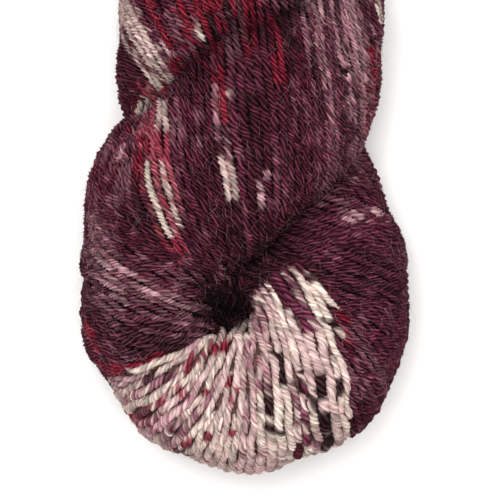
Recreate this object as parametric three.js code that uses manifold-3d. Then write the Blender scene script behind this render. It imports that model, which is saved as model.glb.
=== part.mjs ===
// A twisted skein of four-ply wool yarn, lying on its side: millimetres, +Z up.
// The wound loop is twisted, folded in half and plied on itself, so two ropes of yarn
// wrap round each other and each end is a bun of turns gathered round a closed eye.
import * as THREE from "three";
import { mergeVertices } from "three/addons/utils/BufferGeometryUtils.js";
import Module from "manifold-3d";

// Driving dimensions
const SKEIN_LENGTH = 280;
const AXIS_HEIGHT = 27.8; // height of the line that the two ropes wrap round
const HALF_TURN = 50; // length along the skein in which a rope passes from front to back
const FRONT_CROSSING = -HALF_TURN; // where a rope lies on top, from the skein's middle
const PLY_REACH_SIDE = 15.5; // from the skein's axis to a rope's centre, at the sides
const PLY_REACH_TOP = 13; // the same, at the top and bottom, where the ropes are pressed flat

const ROPE_DEPTH_SIDE = 20; // half the rope's size outwards from the axis, at the sides
const ROPE_DEPTH_TOP = 17; // the same, at the top and bottom
const ROPE_WIDTH = 24; // half the rope's size the other way
const SECTION_POWER = 2.3; // 2 is an ellipse, and more is a fuller section

const BUN_RADIUS = 21.8; // from the eye to the middle of the gathered turns
const BUN_DEPTH = 21.2; // half their size outwards from the eye
const BUN_THICKNESS = 25.5; // half their size along the eye
const BUN_LIFT = 3.4; // how far the half that joins the upper rope lies above the axis
const EYE_FLOOR_RADIUS = 7; // the turns that close the eye, as a plug of yarn
const EYE_FLOOR_DEPTH = 13; // half its size along the eye
const EYE_FLOOR_SIDES = 14;
const EYE_DRIFT = 7; // sideways shift of the eye's mouth at the top face
const BUN_RISE = 0.9; // quarter turns of rise for each quarter turn round the eye
const END_SWAY = 1.8; // sideways shift of each bun from the skein's axis
const END_LEAN = 1.7; // how far the rim of a bun bulges back the other way
const LEAN_START = 108; // from the skein's middle to where that begins

// Relief of the main bundles of yarn
const ROPE_BUNDLES = 7; // bundles of yarn round a rope
const ROPE_GROOVE = 0.9; // half the height of a bundle over its groove
const BUN_BUNDLES = 10; // gathered bundles along half a rope
const BUN_GROOVE = 0.7; // half their height
const EYE_SIDE_GROOVE = 0.2; // share of that height left on the side by the eye
const YARN_ANGLE = 44; // degrees between the yarn and the rope that it twists round

// Points that lead the rope
const BUN_START = 270; // degrees round the eye at the very end of the skein
const BUN_STEP = 27.5;
const BUN_STEPS = 4; // from there to where the rope leaves the ring
const PLIED_STEP = HALF_TURN / 8;
const PLIED_STEPS = 9; // from the skein's middle to where the rope swings out

// Where each rope swings into the bun: the one that lies over the other bulges further.
const SHOULDERS = {
  over: { reach: 19.3, along: 67, lift: 5, depth: 23, width: 27, spread: 5 },
  under: { reach: 18.5, along: 59, lift: 5, depth: 21.5, width: 22, spread: 0 },
};
const SHOULDER_TURN = { x: 0.92, z: 0.4 }; // the way it faces there
const SHOULDER_PLIED = 0.5; // how far it is plied there, where 1 is fully
const SPREAD_START = 0.5; // half turns from the middle to where the rope begins to spread

// Mesh
const STATIONS = 40; // sections in half of one rope
const SECTION_POINTS = 36;
const SPAN_DIVISIONS = 20; // parts of a span by which the rope's length is measured
const WELDS_PER_MM = 1e4; // how finely coordinates are told apart
const CUT = { width: 400, length: 600, height: 100 }; // what is cut away below the skein

const WOOL = new THREE.MeshStandardMaterial({
  name: "hand_dyed_wool",
  color: 0x5a2a3c,
  roughness: 0.9,
  metalness: 0,
});

const radians = THREE.MathUtils.degToRad;
const BUN_RIM = BUN_RADIUS + BUN_DEPTH;
const BUN_CENTRE_Y = BUN_RIM - SKEIN_LENGTH / 2;

// Where the rope that is on top at the front crossing lies, a distance y from the skein's middle,
// in the part where the two ropes are plied.
function pliedPoint(y, spread) {
  const angle = Math.PI / 2 - (Math.PI * (y - FRONT_CROSSING)) / HALF_TURN;
  const outward = new THREE.Vector3(Math.cos(angle), 0, Math.sin(angle));
  const centre = new THREE.Vector3(
    PLY_REACH_SIDE * outward.x,
    y,
    PLY_REACH_TOP * outward.z,
  );
  const flattened = outward.z * outward.z;
  const depth = THREE.MathUtils.lerp(ROPE_DEPTH_SIDE, ROPE_DEPTH_TOP, flattened);
  const width = ROPE_WIDTH + spread * Math.max(0, -y / HALF_TURN - SPREAD_START);
  return { centre, outward, depth, width, plied: 1 };
}

// Where the same rope lies in the bun, at an angle round the eye.
function bunPoint(degrees) {
  const angle = radians(degrees);
  const outward = new THREE.Vector3(Math.cos(angle), Math.sin(angle), 0);
  const centre = outward.clone().multiplyScalar(BUN_RADIUS);
  const risen = Math.sin(radians((BUN_START - degrees) * BUN_RISE));
  centre.y += BUN_CENTRE_Y;
  centre.z = BUN_LIFT * risen * Math.abs(risen);
  return { centre, outward, depth: BUN_DEPTH, width: BUN_THICKNESS, plied: 0 };
}

// Where the rope swings out of the plied part and into the bun.
function shoulderPoint({ reach, along, lift, depth, width }) {
  const outward = new THREE.Vector3(-SHOULDER_TURN.x, 0, SHOULDER_TURN.z).normalize();
  const centre = new THREE.Vector3(-reach, along - SKEIN_LENGTH / 2, lift);
  return { centre, outward, depth, width, plied: SHOULDER_PLIED };
}

// The points that lead half of one rope, from the bottom of the bun to the skein's middle, with
// one more beyond each end so that the halves meet squarely.
function leadPoints(shoulder) {
  const points = [];
  const bunEnd = BUN_START - BUN_STEPS * BUN_STEP;
  for (let angle = BUN_START + BUN_STEP; angle >= bunEnd; angle -= BUN_STEP) {
    points.push(bunPoint(angle));
  }
  points.push(shoulderPoint(shoulder));
  for (let step = -PLIED_STEPS; step <= 1; step += 1) {
    points.push(pliedPoint(step * PLIED_STEP, shoulder.spread));
  }
  return points;
}

// The rope's path, the way it faces and its size, as functions of the share of its length.
function ropeRoute(shoulder) {
  const points = leadPoints(shoulder);
  const curveOf = (pick) => new THREE.CatmullRomCurve3(points.map(pick));
  const path = curveOf((p) => p.centre);
  const facing = curveOf((p) => p.outward);
  const sizes = curveOf((p) => new THREE.Vector3(p.depth, p.width, p.plied));
  const spans = points.length - 1;
  path.arcLengthDivisions = SPAN_DIVISIONS * spans;
  const lengths = path.getLengths();
  const first = lengths[SPAN_DIVISIONS];
  const last = lengths[SPAN_DIVISIONS * (spans - 1)];
  const whole = lengths[SPAN_DIVISIONS * spans];
  const at = (share) => {
    const t = path.getUtoTmapping((first + share * (last - first)) / whole);
    const forward = path.getTangent(t);
    const outward = facing.getPoint(t);
    outward.addScaledVector(forward, -outward.dot(forward)).normalize();
    const [depth, width, plied] = sizes.getPoint(t).toArray();
    const sideways = new THREE.Vector3().crossVectors(forward, outward);
    return { centre: path.getPoint(t), outward, sideways, depth, width, plied };
  };
  return { at, length: last - first };
}

// One half of the superellipse's pair of coordinates.
function fuller(value) {
  return Math.sign(value) * Math.abs(value) ** (2 / SECTION_POWER);
}

// Height of the bundles' relief, at a place along and round the rope.
function bundleRelief(share, angle, twist, plied) {
  const alongRope = ROPE_GROOVE * Math.cos(ROPE_BUNDLES * (angle - twist));
  const acrossBun = BUN_GROOVE * Math.cos(2 * Math.PI * BUN_BUNDLES * share);
  const held = Math.min(Math.max(plied, 0), 1);
  const awayFromEye = (1 + Math.cos(angle)) / 2;
  const height = THREE.MathUtils.lerp(EYE_SIDE_GROOVE, 1, awayFromEye);
  return held * alongRope + (1 - held) * acrossBun * height;
}

// A section made to match its own turned copy, so that what meets there meets without a gap.
function squareEnd(ring, turned) {
  return ring.map((point, j) => {
    const twin = turned(ring[(SECTION_POINTS - j) % SECTION_POINTS]);
    return point.clone().add(twin).multiplyScalar(0.5);
  });
}

// The rings of points round half of one rope.
function ropeRings(shoulder) {
  const { at, length } = ropeRoute(shoulder);
  const rings = [];
  const fullTwist = (length * Math.tan(radians(YARN_ANGLE))) / ROPE_WIDTH;
  const lobes = Math.round((fullTwist * ROPE_BUNDLES) / Math.PI);
  for (let i = 0; i <= STATIONS; i += 1) {
    const share = i / STATIONS;
    const { centre, outward, sideways, depth, width, plied } = at(share);
    const twist = (-share * lobes * Math.PI) / ROPE_BUNDLES;
    const ring = [];
    for (let j = 0; j < SECTION_POINTS; j += 1) {
      const angle = (2 * Math.PI * j) / SECTION_POINTS;
      const relief = bundleRelief(share, angle, twist, plied);
      const out = (depth + relief) * fuller(Math.cos(angle));
      const across = (width + relief) * fuller(Math.sin(angle));
      const point = centre.clone().addScaledVector(outward, out);
      ring.push(point.addScaledVector(sideways, across));
    }
    rings.push(ring);
  }
  rings[0] = squareEnd(rings[0], (p) => new THREE.Vector3(-p.x, p.y, -p.z));
  rings[STATIONS] = squareEnd(rings[STATIONS], (p) => new THREE.Vector3(-p.x, -p.y, p.z));
  return rings;
}

// Moves a point of the lower bun as the gathered turns lie: the eye's mouth drifts to one side
// on the top face and to the other below.
function settle(point) {
  const fromEye = Math.hypot(point.x, point.y - BUN_CENTRE_Y);
  const nearEye = Math.max(0, 1 - fromEye / BUN_RIM);
  point.x -= (EYE_DRIFT * nearEye * point.z) / BUN_THICKNESS;
  return point;
}

// A coordinate to a ten-thousandth, so that halves which mirror each other meet exactly.
function rounded(value) {
  return Math.round(value * WELDS_PER_MM) / WELDS_PER_MM;
}

// The section that the far half of a rope has where the near half has this one.
function turnedOver(ring) {
  return ring.map((p, j) => {
    const twin = ring[(SECTION_POINTS - j) % SECTION_POINTS];
    return new THREE.Vector3(-twin.x, -twin.y, twin.z);
  });
}

// One rope from end to end as a closed solid, in the frame of the skein's axis.
function ropeGeometry(shoulder) {
  const near = ropeRings(shoulder).map((ring) => ring.map(settle));
  const far = near.slice(0, -1).reverse().map(turnedOver);
  const rings = [...near, ...far];
  const positions = rings.flat().flatMap((p) => p.toArray().map(rounded));
  const faces = [];
  for (let i = 0; i < rings.length - 1; i += 1) {
    for (let j = 0; j < SECTION_POINTS; j += 1) {
      const next = (j + 1) % SECTION_POINTS;
      const [a, b] = [i * SECTION_POINTS + j, i * SECTION_POINTS + next];
      const [c, d] = [a + SECTION_POINTS, b + SECTION_POINTS];
      faces.push(a, b, c, b, d, c);
    }
  }
  const lastRing = (rings.length - 1) * SECTION_POINTS;
  for (let j = 1; j < SECTION_POINTS - 1; j += 1) {
    faces.push(0, j + 1, j, lastRing, lastRing + j, lastRing + j + 1);
  }
  const geometry = new THREE.BufferGeometry();
  geometry.setAttribute("position", new THREE.Float32BufferAttribute(positions, 3));
  geometry.setIndex(faces);
  return geometry;
}

const wasm = await Module();
wasm.setup();

// A closed three.js geometry as a solid that can be joined and cut.
function solidOf(geometry) {
  const bare = geometry.clone();
  bare.deleteAttribute("normal");
  bare.deleteAttribute("uv");
  const merged = mergeVertices(bare, 1 / WELDS_PER_MM);
  const solid = new wasm.Manifold(
    new wasm.Mesh({
      numProp: 3,
      vertProperties: merged.attributes.position.array,
      triVerts: new Uint32Array(merged.index.array),
    }),
  );
  return solid;
}

// Sideways shift at a distance y from the skein's middle. The two buns stand off the axis to
// opposite sides, and the rim of each bulges back towards it.
function shift(y) {
  const rim = (Math.abs(y) - LEAN_START) / (SKEIN_LENGTH / 2 - LEAN_START);
  const bulge = Math.sin(Math.PI * THREE.MathUtils.clamp(rim, 0, 1));
  return END_SWAY * Math.sin((Math.PI * y) / SKEIN_LENGTH) - Math.sign(y) * END_LEAN * bulge;
}

// Bends the skein by that shift.
function sway(position) {
  for (let i = 0; i < position.count; i += 1) {
    position.setX(i, position.getX(i) + shift(position.getY(i)));
  }
}

// The whole skein: two ropes, one the other turned about the skein's axis, with the turns that
// close the eye in each bun, cut flat where it rests.
function skeinGeometry() {
  const over = ropeGeometry(SHOULDERS.over);
  const under = ropeGeometry(SHOULDERS.under).scale(-1, 1, -1);
  const floor = new THREE.CylinderGeometry(
    EYE_FLOOR_RADIUS,
    EYE_FLOOR_RADIUS,
    2 * EYE_FLOOR_DEPTH,
    EYE_FLOOR_SIDES,
  );
  floor.rotateX(Math.PI / 2).translate(0, BUN_CENTRE_Y, 0);
  const farFloor = floor.clone().scale(-1, -1, 1);
  let skein = solidOf(over).add(solidOf(under));
  for (const g of [floor, farFloor]) skein = skein.add(solidOf(g));
  const below = new THREE.BoxGeometry(CUT.width, CUT.length, CUT.height);
  below.translate(0, 0, -CUT.height / 2 - AXIS_HEIGHT);
  skein = skein.subtract(solidOf(below));
  const mesh = skein.getMesh();
  const geometry = new THREE.BufferGeometry();
  geometry.setAttribute("position", new THREE.BufferAttribute(mesh.vertProperties, 3));
  geometry.setIndex(new THREE.BufferAttribute(mesh.triVerts, 1));
  sway(geometry.getAttribute("position"));
  return geometry.translate(0, 0, AXIS_HEIGHT);
}

const part = new THREE.Group();
const skein = new THREE.Mesh(skeinGeometry(), WOOL);
skein.name = "skein";
part.add(skein);

export default part;
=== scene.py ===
# A twisted skein of hand-dyed four-ply wool, laid on a pale table top. Metres, +Z up.
# The solid of the wound form gives the place and size. Here the two ropes are covered with their
# single turns of yarn: every turn is a four-ply strand of its own, laid along the twist.
import math

import bpy
import numpy as np
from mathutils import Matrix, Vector
from mathutils.bvhtree import BVHTree
from mathutils.kdtree import KDTree


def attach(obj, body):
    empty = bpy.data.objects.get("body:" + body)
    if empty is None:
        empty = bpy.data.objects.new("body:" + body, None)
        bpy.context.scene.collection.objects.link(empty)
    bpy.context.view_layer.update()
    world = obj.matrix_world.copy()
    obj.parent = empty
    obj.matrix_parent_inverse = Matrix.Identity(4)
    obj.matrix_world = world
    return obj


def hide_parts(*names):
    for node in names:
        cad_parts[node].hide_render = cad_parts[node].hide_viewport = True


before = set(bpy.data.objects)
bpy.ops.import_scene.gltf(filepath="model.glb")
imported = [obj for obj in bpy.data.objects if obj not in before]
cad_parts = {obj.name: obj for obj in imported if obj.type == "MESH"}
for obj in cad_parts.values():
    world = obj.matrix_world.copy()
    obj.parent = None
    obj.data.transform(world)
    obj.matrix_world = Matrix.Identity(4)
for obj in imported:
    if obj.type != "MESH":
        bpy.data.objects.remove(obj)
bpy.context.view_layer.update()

MM = 0.001
rng = np.random.default_rng(20231)

# The wound form, in millimetres: the sizes that the solid is made from
SKEIN_LENGTH = 280
AXIS_HEIGHT = 27.8  # from the table top up to the skein's axis
HALF_TURN = 50  # length in which the two ropes change places
PLY_REACH_SIDE, PLY_REACH_TOP = 15.5, 13  # from the axis to the middle of a rope
ROPE_DEPTH_SIDE, ROPE_DEPTH_TOP, ROPE_WIDTH = 20, 17, 24  # half the size of its section
SECTION_POWER = 2.3  # 2 would be an ellipse, and more is fuller
BUN_RADIUS = 21.8  # from the eye to the middle of the gathered turns
BUN_DEPTH, BUN_THICKNESS = 21.2, 25.5  # half their size, outwards from the eye and along it
BUN_LIFT = 3.4  # how far the half that joins the upper rope lies above the axis
BUN_RISE = 0.9  # quarter turns of rise for each quarter turn round the eye
EYE_DRIFT = 7  # sideways shift of the eye's mouth at the top face
END_SWAY = 1.8  # sideways shift of each bun from the skein's axis
END_LEAN, LEAN_START = 1.7, 108  # how far a bun's rim bulges back, and where that begins
ROPE_BUNDLES, ROPE_GROOVE = 7, 0.9  # bundles round a rope, and half their height
BUN_BUNDLES, BUN_GROOVE = 10, 0.7  # gathered bundles along half a rope, and half their height
EYE_SIDE_GROOVE = 0.2  # share of that height left on the side by the eye
YARN_ANGLE = 44  # degrees between the bundles and the rope that they twist round
BUN_START, BUN_STEP, BUN_STEPS = 270, 27.5, 4  # degrees round the eye, from the skein's end
PLIED_STEP, PLIED_STEPS = HALF_TURN / 8, 9
# Where each rope swings into the bun: the one that lies over the other bulges further
SHOULDERS = {
    "over": {"reach": 19.3, "along": 67, "lift": 5, "depth": 23, "width": 27, "spread": 5},
    "under": {"reach": 18.5, "along": 59, "lift": 5, "depth": 21.5, "width": 22, "spread": 0},
}
SHOULDER_TURN = (-0.92, 0, 0.4)  # the way it faces there
SHOULDER_PLIED = 0.5  # how far it is plied there, where 1 is fully
SPREAD_START = 0.5  # half turns from the middle to where the rope begins to spread
BUN_RIM = BUN_RADIUS + BUN_DEPTH
BUN_CENTRE_Y = BUN_RIM - SKEIN_LENGTH / 2

# The grid over each rope
STATIONS = 150  # along half of it
ROUND = 140  # round it
SPAN_DIVISIONS = 20  # parts of a span by which the rope's length is measured

# ---------------------------------------------------------------- form of the ropes


def unit(v):
    return v / np.maximum(np.linalg.norm(v, axis=-1, keepdims=True), 1e-12)


def bun_point(degrees):
    """A leading point of the gathered turns, so many degrees round the eye."""
    angle = math.radians(degrees)
    outward = np.array([math.cos(angle), math.sin(angle), 0])
    risen = math.sin(math.radians((BUN_START - degrees) * BUN_RISE))
    centre = outward * BUN_RADIUS + (0, BUN_CENTRE_Y, BUN_LIFT * risen * abs(risen))
    return [*centre, *outward, BUN_DEPTH, BUN_THICKNESS, 0]


def shoulder_point(s):
    """The leading point where a rope swings into the bun."""
    outward = unit(np.array(SHOULDER_TURN))
    centre = (-s["reach"], s["along"] - SKEIN_LENGTH / 2, s["lift"])
    return [*centre, *outward, s["depth"], s["width"], SHOULDER_PLIED]


def plied_point(y, spread):
    """A leading point of a rope where it is wrapped round the other, so far along the skein."""
    angle = math.pi / 2 - math.pi * (y + HALF_TURN) / HALF_TURN
    outward = (math.cos(angle), 0, math.sin(angle))
    centre = (PLY_REACH_SIDE * outward[0], y, PLY_REACH_TOP * outward[2])
    flattened = outward[2] ** 2
    depth = ROPE_DEPTH_SIDE + (ROPE_DEPTH_TOP - ROPE_DEPTH_SIDE) * flattened
    width = ROPE_WIDTH + spread * max(0, -y / HALF_TURN - SPREAD_START)
    return [*centre, *outward, depth, width, 1]


def lead_points(shoulder):
    """The points that lead half of a rope: centre, outward, depth, width and how plied it is."""
    points = [bun_point(BUN_START + BUN_STEP * k) for k in range(1, -BUN_STEPS - 1, -1)]
    points.append(shoulder_point(shoulder))
    points += [plied_point(k * PLIED_STEP, shoulder["spread"]) for k in range(-PLIED_STEPS, 2)]
    return np.array(points, float)


def smooth_curve(knots, t):
    """A centripetal Catmull-Rom curve through the knots at t from 0 to 1, column by column."""
    spans = len(knots) - 1
    at = np.clip(t, 0, 1) * spans
    k = np.minimum(at.astype(int), spans - 1)
    w = at - k
    padded = np.vstack([2 * knots[0] - knots[1], knots, 2 * knots[-1] - knots[-2]])
    p0, p1, p2, p3 = (padded[k + i] for i in range(4))

    def gap(a, b, size):
        return np.maximum(np.linalg.norm((b - a)[:, size], axis=1) ** 0.5, 1e-4)[:, None]

    out = np.zeros((len(t), knots.shape[1]))
    for size in (slice(0, 3), slice(3, 6), slice(6, 9)):
        d0, d1, d2 = gap(p0, p1, size), gap(p1, p2, size), gap(p2, p3, size)
        a, b, c, d = (p[:, size] for p in (p0, p1, p2, p3))
        t1 = ((b - a) / d0 - (c - a) / (d0 + d1) + (c - b) / d1) * d1
        t2 = ((c - b) / d1 - (d - b) / (d1 + d2) + (d - c) / d2) * d1
        u = w[:, None]
        out[:, size] = (
            b
            + t1 * u
            + (-3 * b + 3 * c - 2 * t1 - t2) * u**2
            + (2 * b - 2 * c + t1 + t2) * u**3
        )
    return out


def fuller(v):
    """Turns the sine or cosine of a round section into that of the fuller one."""
    return np.sign(v) * np.abs(v) ** (2 / SECTION_POWER)


def half_rope(shoulder):
    """The near half of a rope as a grid of points, station by station round the rope."""
    knots = lead_points(shoulder)
    spans = len(knots) - 1
    fine = np.linspace(0, 1, SPAN_DIVISIONS * spans + 1)
    line = smooth_curve(knots, fine)[:, :3]
    run = np.concatenate([[0], np.cumsum(np.linalg.norm(np.diff(line, axis=0), axis=1))])
    first, last = run[SPAN_DIVISIONS], run[SPAN_DIVISIONS * (spans - 1)]
    share = np.linspace(0, 1, STATIONS + 1)
    t = np.interp(first + share * (last - first), run, fine)
    values = smooth_curve(knots, t)
    step = 1e-4
    forward = unit(smooth_curve(knots, t + step)[:, :3] - smooth_curve(knots, t - step)[:, :3])
    centre, outward = values[:, :3], values[:, 3:6]
    outward = unit(outward - forward * np.sum(outward * forward, axis=1, keepdims=True))
    sideways = np.cross(forward, outward)
    depth, width, plied = values[:, 6:7], values[:, 7:8], np.clip(values[:, 8:9], 0, 1)
    full_twist = (last - first) * math.tan(math.radians(YARN_ANGLE)) / ROPE_WIDTH
    lobes = round(full_twist * ROPE_BUNDLES / math.pi)
    angle = np.arange(ROUND) * 2 * math.pi / ROUND
    twist = -share[:, None] * lobes * math.pi / ROPE_BUNDLES
    along = ROPE_GROOVE * np.cos(ROPE_BUNDLES * (angle[None] - twist))
    across = BUN_GROOVE * np.cos(2 * math.pi * BUN_BUNDLES * share[:, None])
    lowered = (1 - EYE_SIDE_GROOVE) / 2
    by_eye = np.cos(angle[None]) * lowered + (1 + EYE_SIDE_GROOVE) / 2
    relief = plied * along + (1 - plied) * across * by_eye
    out = (depth + relief) * fuller(np.cos(angle))[None]
    side = (width + relief) * fuller(np.sin(angle))[None]
    grid = centre[:, None] + out[..., None] * outward[:, None] + side[..., None] * sideways[:, None]
    from_eye = np.hypot(grid[..., 0], grid[..., 1] - BUN_CENTRE_Y)
    near_eye = np.maximum(0, 1 - from_eye / BUN_RIM)
    grid[..., 0] -= EYE_DRIFT * near_eye * grid[..., 2] / BUN_THICKNESS
    return grid


def sideways_shift(y):
    """The buns stand off the axis to opposite sides, and the rim of each bulges back to it."""
    rim = np.clip((np.abs(y) - LEAN_START) / (SKEIN_LENGTH / 2 - LEAN_START), 0, 1)
    sway = END_SWAY * np.sin(math.pi * y / SKEIN_LENGTH)
    return sway - np.sign(y) * END_LEAN * np.sin(math.pi * rim)


def whole_rope(name):
    """A rope from end to end: the far half is the near half turned about the skein's middle."""
    near = half_rope(SHOULDERS[name])
    twin = np.roll(near[:, ::-1], 1, axis=1) * (-1, -1, 1)
    grid = np.concatenate([near, twin[-2::-1]])
    if name == "under":
        grid = grid * (-1, 1, -1)
    grid[..., 0] += sideways_shift(grid[..., 1])
    grid[..., 2] += AXIS_HEIGHT
    return grid


# ---------------------------------------------------------------- how the yarn lies

# The view frame in which the lay of the turns and the dye are charted: 500 units across
CHART_MM = 0.27  # millimetres to one unit of the chart
CHART_X, CHART_Y = 252, 468  # chart place of the skein's axis and its near end


def to_chart(points):
    """Where points of the skein stand on the chart, seen from above."""
    x = points[..., 0] / CHART_MM + CHART_X
    y = CHART_Y - (points[..., 1] + SKEIN_LENGTH / 2) / CHART_MM
    return np.stack([x, y], axis=-1)


# Chart place and the angle at which the turns run there, in degrees anticlockwise from level
LAY = {
    "over": [
        # x, y, angle
        (300, 30, 100), (350, 60, 104), (270, 60, 101), (230, 90, 93), (230, 150, 98),
        (300, 120, 96), (345, 130, 100), (185, 130, 96), (160, 180, 108), (170, 225, 114),
        (190, 215, 108), (155, 145, 92), (138, 140, 76), (118, 168, 66), (107, 195, 84),
        (112, 228, 125), (126, 248, 143), (150, 272, 156), (168, 282, 150), (190, 296, 164),
        (116, 292, 148), (98, 282, 128), (98, 330, 118), (112, 362, 132), (140, 310, 160),
        (200, 314, 176), (180, 334, 174), (145, 345, 172), (205, 255, 118), (215, 285, 132),
        (240, 220, 98), (240, 265, 95), (260, 262, 82), (285, 240, 78), (310, 215, 76),
        (330, 180, 82), (225, 300, 128), (280, 180, 90),
    ],
    "under": [
        (340, 206, 168), (370, 220, 147), (389, 228, 116), (343, 250, 164), (366, 265, 162),
        (398, 264, 128), (331, 273, 152), (357, 288, 158), (390, 292, 148), (346, 300, 160),
        (349, 318, 142), (348, 330, 126), (370, 328, 138), (393, 325, 124), (360, 363, 128),
        (383, 340, 124), (360, 386, 112), (380, 380, 118), (352, 430, 108), (374, 410, 116),
        (322, 238, 168), (372, 182, 120),
        (145, 40, 118), (170, 40, 116), (184, 20, 113), (213, 15, 114), (238, 8, 101),
        (132, 105, 120), (150, 77, 126), (165, 90, 128),
    ],
    "fan": [
        (175, 348, 26), (130, 365, 20), (140, 392, 28), (170, 400, 36), (158, 428, 40),
        (190, 440, 54), (200, 400, 52), (215, 360, 62), (220, 440, 72), (240, 400, 84),
        (245, 350, 90), (250, 450, 90), (270, 400, 98), (262, 335, 102), (315, 298, 127),
        (339, 350, 104), (298, 300, 127), (322, 344, 110), (302, 320, 112), (312, 356, 99),
        (278, 348, 106), (275, 290, 111), (335, 440, 100), (310, 420, 96), (283, 440, 94),
        (348, 405, 97), (228, 335, 70),
    ],
}
# Edge of the loosened turns that fan out below the eye, and the floor of the chart under them
FAN_EDGE = [
    (229, 322), (200, 337), (175, 347), (110, 374), (60, 390), (60, 560), (420, 560),
    (356, 470), (351, 427), (346, 363), (335, 312), (321, 281), (301, 261), (262, 284), (238, 306),
]
GUIDE_REACH, GUIDE_FALL = 9.1, 1.5  # how widely a guide counts, and how fast that falls


def inside_outline(points, outline):
    """Which points of the chart lie inside a closed outline."""
    x, y = points[..., 0], points[..., 1]
    inside = np.zeros(x.shape, bool)
    for (x0, y0), (x1, y1) in zip(outline, outline[1:] + outline[:1]):
        crosses = (y0 > y) != (y1 > y)
        inside ^= crosses & (x < (x1 - x0) * (y - y0) / (y1 - y0 + 1e-9) + x0)
    return inside


def charted_angle(points, guides):
    """The charted angle at points of the chart, from the guides round them."""
    guides = np.array(guides, float)
    doubled = np.radians(2 * guides[:, 2])
    away = np.linalg.norm(points[..., None, :] - guides[:, :2], axis=-1)
    weight = 1 / (away**2 + GUIDE_REACH**2) ** GUIDE_FALL
    c, s = (weight * np.cos(doubled)).sum(-1), (weight * np.sin(doubled)).sum(-1)
    return 0.5 * np.arctan2(s, c)


def mirrored(ring_grid):
    """The same rings, run round the other way."""
    return np.roll(ring_grid[:, ::-1], 1, axis=1)


def closed_grid():
    """Both ropes as one closed band of the wound loop: out along the rope that lies over at the
    near end and back along the other. True marks the rows of the first."""
    over, under = whole_rope("over"), whole_rope("under")
    grid = np.concatenate([over, mirrored(under[-2:0:-1])])
    return grid, np.arange(len(grid)) < len(over)


EASE_ROUNDS, EASE_SHARE = 240, 0.5  # rounds of smoothing at most, and how far each goes
EASE_SPREAD, EASE_FALL = 8, 0.85  # how many points round a crossing are eased with it


def eased(grid):
    """Smooths the band along the ropes where rings cross, on the inside of the tight bends."""
    for _ in range(EASE_ROUNDS):
        before, after = np.roll(grid, 1, 0), np.roll(grid, -1, 0)
        around = np.roll(grid, -1, 1) - np.roll(grid, 1, 1)
        outward = grid - grid.mean(1, keepdims=True)
        crossed = np.sum(np.cross(around, after - before) * outward, -1) < 0
        if not crossed.any():
            break
        near = crossed.astype(float)
        for _ in range(EASE_SPREAD):
            for axis in (0, 1):
                spread = np.maximum(np.roll(near, 1, axis), np.roll(near, -1, axis))
                near = np.maximum(near, EASE_FALL * spread)
        grid = grid + EASE_SHARE * near[..., None] * ((before + after) / 2 - grid)
    return grid


GRID, IS_OVER = closed_grid()
GRID = eased(GRID)
ROWS, COLS = GRID.shape[:2]
ALONG = (np.roll(GRID, -1, 0) - np.roll(GRID, 1, 0)) / 2
AROUND = (np.roll(GRID, -1, 1) - np.roll(GRID, 1, 1)) / 2
NORMAL = unit(np.cross(AROUND, ALONG))
E_ALONG = unit(ALONG)
E_AROUND = np.cross(E_ALONG, NORMAL)
CREASE_REACH = 9  # how far from where the ropes meet their turns begin to sink
PLAIN_LAY = math.radians(55)  # angle of the turns to the rope where nothing is charted
FRONT_SLOPE = 0.35  # how far a face may lean before the chart stops telling its lay
CHART_START = 10  # distance from the skein's middle at which the chart begins
FAN_SLOPE, BACK_FAN_SLOPE = -0.5, 0.1  # how far round the rim the loosened turns reach
PLAIN_BAND = 6  # the turns keep their plain lay so near the skein's middle
SPREAD_ROUNDS, BLEND_ROUNDS = 500, 3  # rounds that spread the lay over the ropes and soften it


def lay_from_plan(flat):
    """Angle in the surface of a direction seen in plan, from along the rope round it."""
    a, b = ALONG[..., :2], AROUND[..., :2]
    det = a[..., 0] * b[..., 1] - a[..., 1] * b[..., 0]
    det = np.where(np.abs(det) < 1e-6, 1e-6, det)
    u = (flat[..., 0] * b[..., 1] - flat[..., 1] * b[..., 0]) / det
    v = (a[..., 0] * flat[..., 1] - a[..., 1] * flat[..., 0]) / det
    t = u[..., None] * ALONG + v[..., None] * AROUND
    return np.arctan2(-np.sum(t * E_AROUND, -1), np.sum(t * E_ALONG, -1))


def chart_faces():
    """Lays the chart on all four faces: the back is the front turned about the skein's axis with
    the ropes changed over, and the far end is the near end turned about the middle."""
    angle = np.full((ROWS, COLS), np.nan)
    fan = np.zeros((ROWS, COLS), bool)
    for end in (1, -1):
        for side in (1, -1):
            turn = np.array([end * side, end, 1])
            at = to_chart(GRID * turn)
            near = GRID[..., 1] * end < -CHART_START
            facing = NORMAL[..., 2] * side
            wedge = inside_outline(at, FAN_EDGE) & near
            wedge &= facing > (FAN_SLOPE if side == 1 else BACK_FAN_SLOPE)
            fan |= wedge
            for rope in ("over", "under"):
                rows = IS_OVER if (rope == "over") == (side == 1) else ~IS_OVER
                where = near & rows[:, None] & (facing > FRONT_SLOPE)
                for guides, part in ((LAY[rope], ~wedge), (LAY["fan"], wedge)):
                    here = np.nonzero(where & part)
                    charted = charted_angle(at[here], guides)
                    plan = np.zeros((ROWS, COLS, 2))
                    way = np.stack([np.cos(charted), np.sin(charted)], axis=-1)
                    plan[here] = way * turn[:2]
                    angle[here] = lay_from_plan(plan)[here]
    return angle, fan


def beside(field):
    """The values of a field at the four points beside each point of the grid."""
    return [np.roll(field, k, axis) for k in (1, -1) for axis in (0, 1)]


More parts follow.
